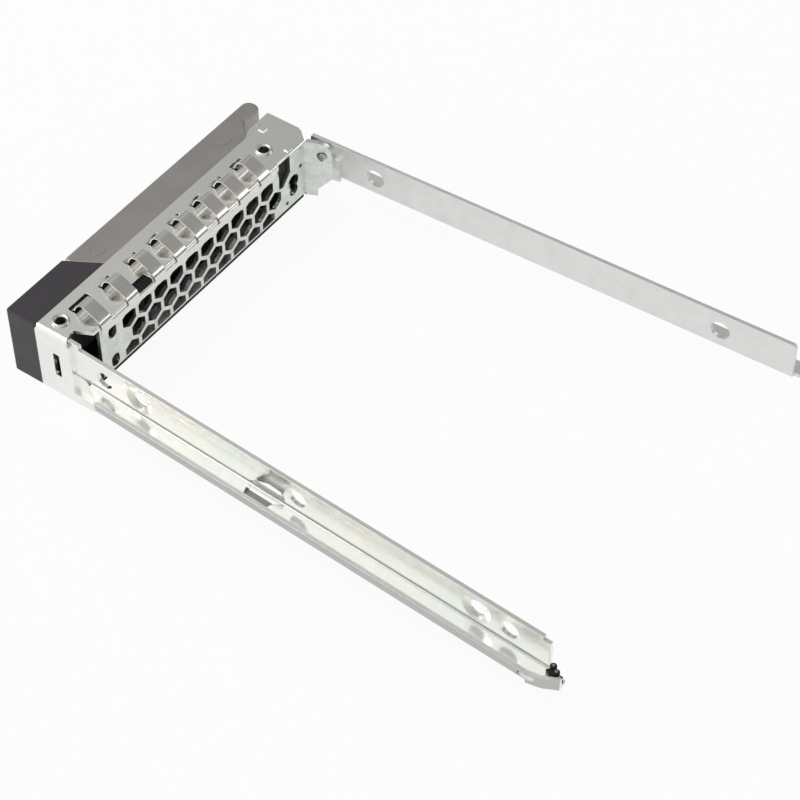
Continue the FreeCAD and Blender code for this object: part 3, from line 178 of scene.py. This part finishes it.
class Finish:
    """A material under construction: its node tree and the nodes that most finishes share."""

    def __init__(self, name, colour, metallic, roughness):
        self.material = bpy.data.materials.new(name)
        self.material.use_nodes = True
        self.tree = self.material.node_tree
        self.shader = self.tree.nodes["Principled BSDF"]
        self.shader.inputs["Base Color"].default_value = (*colour, 1)
        self.shader.inputs["Metallic"].default_value = metallic
        self.shader.inputs["Roughness"].default_value = roughness

    def node(self, kind, **inputs):
        """Adds a node and sets or links its inputs by name."""
        made = self.tree.nodes.new(kind)
        for name, value in inputs.items():
            self.give(made.inputs[name.replace("_", " ")], value)
        return made

    def give(self, socket, value):
        """Links a socket to another one, or sets its plain value."""
        if isinstance(value, bpy.types.NodeSocket):
            self.tree.links.new(value, socket)
        else:
            socket.default_value = value

    def coordinates(self, stretch=(1, 1, 1), turn=0.0):
        """Object coordinates in millimetres, squeezed along some axes for grain."""
        where = self.node("ShaderNodeTexCoord")
        scale = tuple(PER_METRE * share for share in stretch)
        mapping = self.node("ShaderNodeMapping", Vector=where.outputs["Object"], Scale=scale,
                            Rotation=(0, 0, math.radians(turn)))
        return mapping.outputs[0]

    def cloud(self, size, detail=3.0, stretch=(1, 1, 1), turn=0.0):
        """Noise whose blotches are about size millimetres across."""
        noise = self.node("ShaderNodeTexNoise", Vector=self.coordinates(stretch, turn), Scale=1.0 / size,
                          Detail=detail, Roughness=0.55)
        return noise.outputs["Fac"]

    def span(self, value, low, high):
        """Maps the middle of a noise onto a range."""
        return self.ramp(value, 0.3, 0.7, low, high)

    def ramp(self, value, start, end, low=0.0, high=1.0):
        """Goes from low to high as a value goes from start to end."""
        reach = self.node("ShaderNodeMapRange", Value=value, From_Min=start, From_Max=end,
                          To_Min=low, To_Max=high)
        return reach.outputs[0]

    def times(self, first, second):
        """The product of two values."""
        product = self.node("ShaderNodeMath")
        product.operation = "MULTIPLY"
        self.give(product.inputs[0], first)
        self.give(product.inputs[1], second)
        return product.outputs[0]

    def blend(self, amount, first, second):
        """Goes from the first colour to the second by an amount from zero to one."""
        mix = self.node("ShaderNodeMix")
        mix.data_type = "RGBA"
        self.give(mix.inputs["Factor"], amount)
        colour_sockets = mix.inputs[6], mix.inputs[7]
        for socket, colour in zip(colour_sockets, (first, second)):
            self.give(socket, colour if isinstance(colour, bpy.types.NodeSocket) else (*colour, 1))
        return mix.outputs[2]

    def paint(self, colour):
        self.give(self.shader.inputs["Base Color"], colour)

    def polish(self, roughness):
        self.give(self.shader.inputs["Roughness"], roughness)

    def relief(self, edge_mm, *layers):
        """Softens edges to a small radius, then adds layers of bump as (height, depth in millimetres)."""
        normal = self.node("ShaderNodeBevel", Radius=edge_mm * MM).outputs[0] if edge_mm else None
        for height, depth in layers:
            bump = self.node("ShaderNodeBump", Height=height, Distance=depth * MM, Strength=1.0)
            if normal:
                self.give(bump.inputs["Normal"], normal)
            normal = bump.outputs[0]
        self.give(self.shader.inputs["Normal"], normal)


def rail_place(steel):
    """Where a point lies in the near rail's own frame, in mm, with zero height at the rail's inside fold."""
    fold_level = 7.25
    where = steel.node("ShaderNodeTexCoord")
    moved = steel.node("ShaderNodeVectorMath")
    moved.operation = "MULTIPLY_ADD"
    steel.give(moved.inputs[0], where.outputs["Object"])
    moved.inputs[1].default_value = (PER_METRE, PER_METRE, PER_METRE)
    moved.inputs[2].default_value = (-RAIL_X, -RAIL_Y, -fold_level)
    turned = steel.node("ShaderNodeVectorRotate", Vector=moved.outputs[0], Angle=math.radians(SPLAY))
    turned.rotation_type = "Z_AXIS"
    return turned.outputs[0]


def painted_fold_shade(steel, place):
    """One along the inside of the near rail's fold, where painted shade darkens the plating to a grey band,
    and zero away from it.
    """
    # Painted shade: full darkening within the first distance of the fold, fading out by the reach.
    full_shade, reach = 0.55 / 3, 0.55
    across = steel.node("ShaderNodeVectorMath")
    across.operation = "MULTIPLY"
    steel.give(across.inputs[0], place)
    across.inputs[1].default_value = (1, 0, 1)
    away = steel.node("ShaderNodeVectorMath")
    away.operation = "LENGTH"
    steel.give(away.inputs[0], across.outputs[0])
    return steel.ramp(away.outputs["Value"], full_shade, reach, 1.0, 0.0)


def painted_lip_shade(steel, place):
    """One on the outer face of the near rail's lip, where painted shade darkens the plating to grey in place
    of a darker reflection, and zero elsewhere.
    """
    beyond_web, lip_start = 1.2, 7.0
    surface = steel.node("ShaderNodeNewGeometry")
    facing = steel.node("ShaderNodeSeparateXYZ", Vector=surface.outputs["Normal"])
    outward = steel.ramp(facing.outputs["X"], 0.5, 0.7)
    parts = steel.node("ShaderNodeSeparateXYZ", Vector=place)
    outer = steel.ramp(parts.outputs["X"], beyond_web, beyond_web + 0.1)
    rear = steel.ramp(parts.outputs["Y"], lip_start, lip_start + 0.5)
    return steel.times(steel.times(outward, outer), rear)


def bright_zinc():
    """Bright plated sheet with a faint warm and cool bloom, and painted shade that darkens the inside of the
    fold and the lip's outer face.
    """
    steel = Finish("bright_zinc", (0.86, 0.87, 0.86), 1.0, 0.16)
    bloom = steel.cloud(14.0, 2.0)
    tint = steel.blend(steel.span(bloom, 0.0, 1.0), (0.98, 0.96, 0.92), (0.93, 0.95, 0.93))
    haze = steel.cloud(2.4, 4.0)
    plated = steel.blend(steel.span(haze, 0.0, 0.3), tint, (0.82, 0.83, 0.82))
    place = rail_place(steel)
    # Painted shade: the inside of the fold darkened to grey.
    with_fold_shade = steel.blend(painted_fold_shade(steel, place), plated, (0.55, 0.57, 0.56))
    # Painted shade: the outer face of the lip darkened to grey, standing for a darker reflection.
    steel.paint(steel.blend(painted_lip_shade(steel, place), with_fold_shade, (0.52, 0.52, 0.51)))
    steel.polish(steel.span(haze, 0.12, 0.26))
    grain = steel.cloud(0.25, 2.0, (8, 0.5, 1))
    steel.relief(0.12, (grain, 0.003))
    return steel.material


def satin_zinc():
    """Dull plated sheet of the far rail."""
    steel = Finish("satin_zinc", (0.74, 0.74, 0.73), 1.0, 0.42)
    haze = steel.cloud(3.0, 5.0)
    steel.paint(steel.blend(steel.span(haze, 0.0, 0.5), (0.82, 0.82, 0.81), (0.75, 0.755, 0.75)))
    steel.polish(steel.span(haze, 0.36, 0.5))
    steel.relief(0.12, (steel.cloud(0.3, 2.0, (1, 0.2, 1)), 0.006))
    return steel.material


def grille_zinc():
    """Greener, mottled plating of the punched grille."""
    steel = Finish("grille_zinc", (0.8, 0.82, 0.78), 1.0, 0.3)
    mottle = steel.cloud(1.6, 5.0)
    steel.paint(steel.blend(steel.span(mottle, 0.0, 1.0), (0.84, 0.86, 0.82), (0.68, 0.72, 0.68)))
    steel.polish(steel.span(mottle, 0.22, 0.4))
    steel.relief(0.1, (steel.cloud(0.4, 3.0), 0.006))
    return steel.material


def spring_steel():
    """Polished steel of the sprung fingers, with fine lines along them."""
    steel = Finish("spring_steel", (0.83, 0.82, 0.79), 1.0, 0.12)
    grain = steel.cloud(0.2, 2.0, (6, 0.4, 0.4))
    steel.paint(steel.blend(steel.span(grain, 0.0, 0.5), (0.86, 0.85, 0.82), (0.7, 0.69, 0.66)))
    steel.polish(steel.span(grain, 0.08, 0.2))
    steel.relief(0, (grain, 0.002))
    return steel.material


def lever_paint():
    """Warm grey satin coat on the lever's channel."""
    paint = Finish("lever_paint", (0.42, 0.39, 0.375), 0.85, 0.34)
    fleck = paint.cloud(0.35, 2.0)
    paint.paint(paint.blend(paint.span(fleck, 0.0, 0.4), (0.42, 0.395, 0.38), (0.35, 0.325, 0.31)))
    paint.polish(paint.span(paint.cloud(6.0, 3.0), 0.32, 0.44))
    paint.relief(0.15, (fleck, 0.004))
    return paint.material


def black_moulding():
    """Matt black glass-filled plastic of the inner mouldings."""
    plastic = Finish("black_moulding", (0.014, 0.014, 0.016), 0.0, 0.55)
    plastic.shader.inputs["Specular IOR Level"].default_value = 0.25
    plastic.polish(plastic.span(plastic.cloud(1.5, 3.0), 0.48, 0.65))
    plastic.relief(0.15, (plastic.cloud(0.18, 2.0), 0.01))
    return plastic.material


def cap_moulding():
    """Finely eroded black plastic of the bezel cap."""
    plastic = Finish("cap_moulding", (0.035, 0.03, 0.036), 0.0, 0.5)
    plastic.polish(plastic.span(plastic.cloud(4.0, 3.0), 0.42, 0.55))
    plastic.relief(0.2, (plastic.cloud(0.14, 2.0), 0.012))
    return plastic.material


def button_moulding():
    """Dark grey plastic of the release button, a little smoother than the cap."""
    plastic = Finish("button_moulding", (0.07, 0.07, 0.075), 0.0, 0.38)
    plastic.polish(plastic.span(plastic.cloud(2.0, 3.0), 0.32, 0.45))
    plastic.relief(0.2, (plastic.cloud(0.2, 2.0), 0.006))
    return plastic.material


def rivet_steel():
    """Rolled steel of the rivets."""
    steel = Finish("rivet_steel", (0.66, 0.66, 0.65), 1.0, 0.28)
    steel.polish(steel.span(steel.cloud(0.5, 3.0), 0.2, 0.38))
    steel.relief(0.08, (steel.cloud(0.3, 3.0), 0.006))
    return steel.material


def coil_wire():
    """Drawn wire of the latch's spring."""
    steel = Finish("coil_wire", (0.6, 0.6, 0.59), 1.0, 0.25)
    steel.polish(steel.span(steel.cloud(0.4, 2.0), 0.18, 0.32))
    return steel.material


def clear_lens():
    """Clear plastic of the status lights."""
    plastic = Finish("clear_lens", (0.85, 0.9, 0.86), 0.0, 0.18)
    plastic.shader.inputs["Transmission Weight"].default_value = 0.6
    plastic.shader.inputs["IOR"].default_value = 1.49
    plastic.polish(plastic.span(plastic.cloud(0.5, 2.0), 0.12, 0.25))
    return plastic.material


def board_laminate():
    """Green laminate of the small circuit board."""
    laminate = Finish("board_laminate", (0.02, 0.11, 0.05), 0.0, 0.35)
    weave = laminate.cloud(0.3, 1.0, (1, 1, 4))
    laminate.paint(laminate.blend(laminate.span(weave, 0.0, 1.0), (0.02, 0.12, 0.05), (0.015, 0.08, 0.035)))
    return laminate.material


def contact_metal():
    """Dull worn plating of the contact pins."""
    plating = Finish("contact_metal", (0.42, 0.4, 0.36), 1.0, 0.3)
    plating.polish(plating.span(plating.cloud(0.2, 2.0), 0.22, 0.38))
    return plating.material


def grey_film():
    """Grey film of the flat conductor, with lines along it."""
    film = Finish("grey_film", (0.3, 0.3, 0.29), 0.0, 0.3)
    lines = film.cloud(0.3, 1.0, (6, 0.05, 1), SPLAY)
    film.paint(film.blend(film.span(lines, 0.0, 1.0), (0.36, 0.36, 0.35), (0.24, 0.24, 0.235)))
    return film.material


FINISHES = {
    bright_zinc: ["main_bracket"],
    satin_zinc: ["far_rail"],
    grille_zinc: ["grille_bracket"],
    spring_steel: ["spring_finger_strip"],
    lever_paint: ["lever_shell", "lever_stake_near", "lever_stake_far"],
    black_moulding: ["carrier_body", "lever_insert", "latch_slider", "contact_block"],
    cap_moulding: ["bezel_cap"],
    button_moulding: ["release_button"],
    rivet_steel: ["pivot_rivet", "corner_rivet", "ear_rivet"],
    coil_wire: ["latch_spring"],
    clear_lens: ["indicator_lens_far", "indicator_lens_near"],
    board_laminate: ["indicator_board"],
    contact_metal: ["contact_pin_1", "contact_pin_2", "contact_pin_3"],
    grey_film: ["contact_flex"],
}


def coat_nodes():
    """Gives every CAD node its finish, and tells which finish each node has."""
    finish_of = {}
    for make, names in FINISHES.items():
        material = make()
        for name in names:
            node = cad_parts[name]
            node.data.materials.clear()
            node.data.materials.append(material)
            finish_of[name] = material
    return finish_of


# --- Forms that the CAD solids leave out ---

NEAR_RAIL = Matrix.Translation((RAIL_X, RAIL_Y, 0)) @ Matrix.Rotation(math.radians(-SPLAY), 4, "Z")
FAR_RAIL = Matrix.Translation((-RAIL_X, RAIL_Y, 0)) @ Matrix.Rotation(math.radians(SPLAY), 4, "Z")
TIP_LOW = 7.1                # underside of the strip at the near rail's tip
BOSSES = 3
PAST_END = 112               # a cut to here along a rail passes its end
PAST_TOP = 17                # and a cut to here passes its top


def from_above(x, y, level):
    """An outline drawn on a level plane."""
    return Vector((x, y, level))


def from_behind(x, z, level):
    """An outline drawn on an upright plane across the carrier."""
    return Vector((x, level, z))


def beside(rail):
    """An outline drawn on a rail's web, along the rail and up."""
    return lambda along, up, level: rail @ Vector((level, along, up))


def over(rail):
    """An outline drawn on a rail's flange, outward and along the rail."""
    return lambda out, along, level: rail @ Vector((out, along, level))


def prism(shape, outline, low, high, place):
    """A closed prism whose outline is carried to its two ends by place."""
    rings = [[shape.verts.new(place(a, b, level) * MM) for a, b in outline] for level in (low, high)]
    for ring in rings:
        shape.faces.new(ring)
    for index in range(len(outline)):
        after = (index + 1) % len(outline)
        shape.faces.new((rings[0][index], rings[0][after], rings[1][after], rings[1][index]))


def rectangle(left, low, right, high):
    """The four corners of a rectangle."""
    return [(left, low), (right, low), (right, high), (left, high)]


def circle(x, y, radius, steps=40):
    """Points round a circle."""
    turns = [2 * math.pi * step / steps for step in range(steps)]
    return [(x + radius * math.cos(turn), y + radius * math.sin(turn)) for turn in turns]


def close_mesh(name, shape):
    """Turns the faces outward and hands the mesh over."""
    bmesh.ops.recalc_face_normals(shape, faces=shape.faces)
    mesh = bpy.data.meshes.new(name)
    shape.to_mesh(mesh)
    shape.free()
    return mesh


def dress(name, mesh, nodes, material, smooth=False, bend=None):
    """Makes a mesh a piece that stands for some CAD nodes.

    It rides the carrier; when bend gives (body, start, end), its transform is baked in place instead, and the
    body and the two points are not used."""
    sharp_angle = math.radians(30)
    mesh.materials.clear()
    mesh.materials.append(material)
    mesh.polygons.foreach_set("use_smooth", [smooth] * len(mesh.polygons))
    if smooth:
        mesh.set_sharp_from_angle(angle=sharp_angle)
    piece = bpy.data.objects.new(name, mesh)
    bpy.context.scene.collection.objects.link(piece)
    if bend:
        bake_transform(piece)
    else:
        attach(piece, "carrier")
    if nodes:
        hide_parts(*nodes)


def carve(node, cuts=(), patches=()):
    """A copy of a CAD node's mesh without the cuts and with the patches added.

    Each cut or patch is (outline, low, high, place)."""
    shape = bmesh.new()
    shape.from_mesh(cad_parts[node].data)
    bmesh.ops.remove_doubles(shape, verts=shape.verts, dist=SEAM)
    stock = bpy.data.objects.new("stock", close_mesh("stock", shape))
    bpy.context.scene.collection.objects.link(stock)
    tools = []
    for cut in cuts:
        shape = bmesh.new()
        prism(shape, *cut)
        tool = bpy.data.objects.new("tool", close_mesh("tool", shape))
        bpy.context.scene.collection.objects.link(tool)
        step = stock.modifiers.new("cut", "BOOLEAN")
        step.operation = "DIFFERENCE"
        step.solver = "EXACT"
        step.object = tool
        tools.append(tool)
    shaped = bpy.data.meshes.new_from_object(stock.evaluated_get(bpy.context.evaluated_depsgraph_get()))
    for spare in (stock, *tools):
        bpy.data.objects.remove(spare)
    shape = bmesh.new()
    shape.from_mesh(shaped)
    for patch in patches:
        prism(shape, *patch)
    return close_mesh(node, shape)


def folded_bracket():
    """Plate, wall and near rail: a lower web, a longer lance and marks.

    The plate is closed under the fingers, where the solid is open."""
    web = beside(NEAR_RAIL)
    flange = over(NEAR_RAIL)
    through_web = (-1.4, 0.4)
    through_flange = (6.0, 7.4)
    through_plate = (PLATE_UNDER - 0.1, PLATE_TOP + 0.1)
    web_top, end_step, step_start = 14.3, 0.9, 105.0
    lance_side = [(40.6, 7.45), (48.8, 7.45), (48.15, 9.6), (45.35, 9.9), (41.9, 8.5)]
    lance_foot = [(0.3, 40.9), (1.75, 41.9), (2.5, 44.7), (1.25, 47.5), (0.3, 48.8)]
    front_hole = circle(6.0, 10.4, 1.8)
    recess = rectangle(-27.4, RAIL_Y - 0.5, -23.9, RAIL_Y + 0.1)
    edge_notch = [(-35.0, 7.55), (-34.5, 7.15), (-35.0, 6.75)]
    cuts = [
        (rectangle(-0.05, web_top, PAST_END, PAST_TOP), *through_web, web),
        (rectangle(step_start, web_top - end_step, PAST_END, PAST_TOP), *through_web, web),
        (lance_side, *through_web, web),
        (lance_foot, *through_flange, flange),
        (front_hole, *through_web, web),
        (recess, *through_plate, from_above),
        (edge_notch, *through_plate, from_above),
    ]
    half_slot, slot_front, slot_back = 1.7, 4.4, 8.7
    corner_tab = [(-31, -1.1), (-28.9, -1.1), (-26.2, 0), (-31, 0)]
    raised_mark = rectangle(-31, 0.5, -29.7, 1.9)
    mark_height = 0.2
    patches = [(rectangle(x - half_slot, slot_front, x + half_slot, slot_back), *PLATE, from_above)
               for x in FINGER_X]
    patches.append((corner_tab, *PLATE, from_above))
    patches.append((raised_mark, PLATE_TOP, PLATE_TOP + mark_height, from_above))
    return carve("main_bracket", cuts, patches)


def vented_grille():
    """The grille with its tall slot open up to the plate's edge."""
    slot = [(-23.9, 15.7), (-27.4, 15.7), (-27.4, 11.2), (-24.9, 8.8), (-23.7, 9.2)]
    through_grille = (9.0, 10.6)
    return carve("grille_bracket", [(slot, *through_grille, from_behind)])


def far_web():
    """The far rail with a lower web."""
    web_top = 14.9
    through_web = (-0.6, 1.6)
    above = rectangle(-3, web_top, PAST_END, PAST_TOP)
    return carve("far_rail", [(above, *through_web, beside(FAR_RAIL))])


def smooth_path(points, steps=7):
    """A curve that runs through every point."""
    ends = [points[0], *points, points[-1]]
    path = []
    for a, b, c, d in zip(ends, ends[1:], ends[2:], ends[3:]):
        for step in range(steps):
            t = step / steps
            path.append(tuple(
                0.5 * (2 * q + (r - p) * t + (2 * p - 5 * q + 4 * r - u) * t * t
                       + (3 * q - p - 3 * r + u) * t ** 3)
                for p, q, r, u in zip(a, b, c, d)))
    return [*path, points[-1]]


def finger_strip():
    """Sprung fingers that rise from a band behind the plate, arch forward and dip into the plate's slots."""
    metal, half, band_metal = 0.22, 1.5, 0.2
    profile = smooth_path([(10.2, 14.4), (10.15, 15.6), (8.8, 16.6), (7.0, 17.45), (5.75, 17.85),
                           (4.75, 17.45), (4.15, 16.5), (3.8, 15.7), (3.1, 15.3)])
    shape = bmesh.new()
    band = rectangle(-22.5, 13.2, 29.65, 14.6)
    prism(shape, band, RAIL_Y, RAIL_Y + band_metal, from_behind)
    for centre in FINGER_X:
        rings = []
        for index, (y, z) in enumerate(profile):
            before, after = profile[max(index - 1, 0)], profile[min(index + 1, len(profile) - 1)]
            along = Vector((after[0] - before[0], after[1] - before[1])).normalized()
            inner = (y + along.y * metal, z - along.x * metal)
            corners = ((-half, (y, z)), (half, (y, z)), (half, inner), (-half, inner))
            rings.append([shape.verts.new(Vector((centre + side, *point)) * MM) for side, point in corners])
        for ring, following in zip(rings, rings[1:]):
            for corner in range(4):
                beyond = (corner + 1) % 4
                shape.faces.new((ring[corner], ring[beyond], following[beyond], following[corner]))
        shape.faces.new(rings[0])
        shape.faces.new(rings[-1])
    return close_mesh("finger_strip", shape)


def rolled_rivet(x, y, low, foot_r):
    """Tubular rivet whose top is rolled into a ring on the plate."""
    bore, shank, ring, steps = 1.0, 1.3, 1.75, 48
    foot_top = low + 0.5
    rolled = [(bore, 15.7), (1.18, 15.93), (1.4, 16.0), (1.6, 15.93), (ring, 15.78), (ring, PLATE_TOP)]
    profile = [(bore, low), *rolled, (shank, PLATE_TOP), (shank, foot_top), (foot_r, foot_top), (foot_r, low)]
    shape = bmesh.new()
    rings = [[shape.verts.new(Vector((x + radius * math.cos(2 * math.pi * step / steps),
                                      y + radius * math.sin(2 * math.pi * step / steps), z)) * MM)
              for radius, z in profile] for step in range(steps)]
    for ring_now, ring_next in zip(rings, rings[1:] + rings[:1]):
        for index in range(len(profile)):
            after = (index + 1) % len(profile)
            shape.faces.new((ring_now[index], ring_now[after], ring_next[after], ring_next[index]))
    return close_mesh("rolled_rivet", shape)


def boss_place(index):
    """Centre of one of the bosses at the rail's tip."""
    return 0.75 * index, 107.3 + 1.15 * index


def tip_strip():
    """Moulded strip along the tip's slanted end with round bosses."""
    flange = over(NEAR_RAIL)
    strip_high, boss_low, boss_high, boss_r = 0.9, 0.4, 1.3, 0.62
    towards_web, towards_lip = 1.4, -0.45
    slant = Vector((1.15, -0.75)).normalized()
    first, last = 0, BOSSES - 1
    corners = []
    for index, reach in ((first, towards_web), (last, towards_web), (last, towards_lip), (first, towards_lip)):
        out, along = boss_place(index)
        corners.append((out + reach * slant.x, along + reach * slant.y))
    shape = bmesh.new()
    prism(shape, corners, TIP_LOW, TIP_LOW + strip_high, flange)
    for index in range(BOSSES):
        boss = circle(*boss_place(index), boss_r, 24)
        prism(shape, boss, TIP_LOW + boss_low, TIP_LOW + boss_high, flange)
    return close_mesh("tip_strip", shape)


def tip_pins():
    """Ends of the contact pins, one in each boss."""
    pin_low, pin_high, pin_r = 7.6, 8.6, 0.3
    shape = bmesh.new()
    for index in range(BOSSES):
        prism(shape, circle(*boss_place(index), pin_r, 20), pin_low, pin_high, over(NEAR_RAIL))
    return close_mesh("tip_pins", shape)


def plate_plastic():
    """Black plastic in the plate's first slot, ribbed in its rear window, and behind the tall slot."""
    shape = bmesh.new()
    prism(shape, rectangle(24.8, 2.35, 29.6, 3.7), 14.6, 15.1, from_above)
    prism(shape, rectangle(14.7, 7.85, 18.6, 10.05), 14.3, 15.05, from_above)
    prism(shape, rectangle(-27.6, 8.8, -23.5, 9.2), 8.2, 14.7, from_above)
    ribs, first_rib, rib_pitch = 5, 15.0, 0.72
    for rib in range(ribs):
        left = first_rib + rib_pitch * rib
        prism(shape, rectangle(left, 7.9, left + rib_pitch / 2, 10.0), 15.0, 15.3, from_above)
    return close_mesh("plate_plastic", shape)


def spring_bend():
    """The latch slider and the spring's two ends, its near end on the cap's wall and its far end at the latch;
    the spring is not made to bend with them.
    """
    low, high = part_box("latch_spring")
    middle = [(a + b) / 2 for a, b in zip(low, high)]
    return "latch_slider", (high[0], middle[1], middle[2]), (low[0], middle[1], middle[2])


def dress_carrier(finish_of):
    """Puts the finer forms in place of the CAD nodes that they stand for."""
    bracket_finish = finish_of["main_bracket"]
    rivet_finish = finish_of["pivot_rivet"]
    strip_finish = finish_of["contact_block"]
    pins = ["contact_pin_1", "contact_pin_2", "contact_pin_3"]
    pivot = rolled_rivet(-25.65, 5.1, low=0.2, foot_r=2.0)
    corner = rolled_rivet(32.95, 3.3, low=9.6, foot_r=1.3)
    dress("folded_bracket", folded_bracket(), ["main_bracket"], bracket_finish)
    dress("vented_grille", vented_grille(), ["grille_bracket"], finish_of["grille_bracket"])
    dress("sprung_coil", carve("latch_spring"), ["latch_spring"],
          finish_of["latch_spring"], smooth=True, bend=spring_bend())
    dress("far_web", far_web(), ["far_rail"], finish_of["far_rail"])
    dress("finger_strip", finger_strip(), ["spring_finger_strip"],
          finish_of["spring_finger_strip"], smooth=True)
    dress("rolled_pivot", pivot, ["pivot_rivet"], rivet_finish, smooth=True)
    dress("rolled_corner", corner, ["corner_rivet"], rivet_finish, smooth=True)
    dress("tip_strip", tip_strip(), ["contact_block"], strip_finish, smooth=True)
    dress("tip_pins", tip_pins(), pins, finish_of["contact_pin_1"], smooth=True)
    dress("plate_plastic", plate_plastic(), [], finish_of["carrier_body"])


place_camera()
lay_floor()
light_studio()
dress_carrier(coat_nodes())
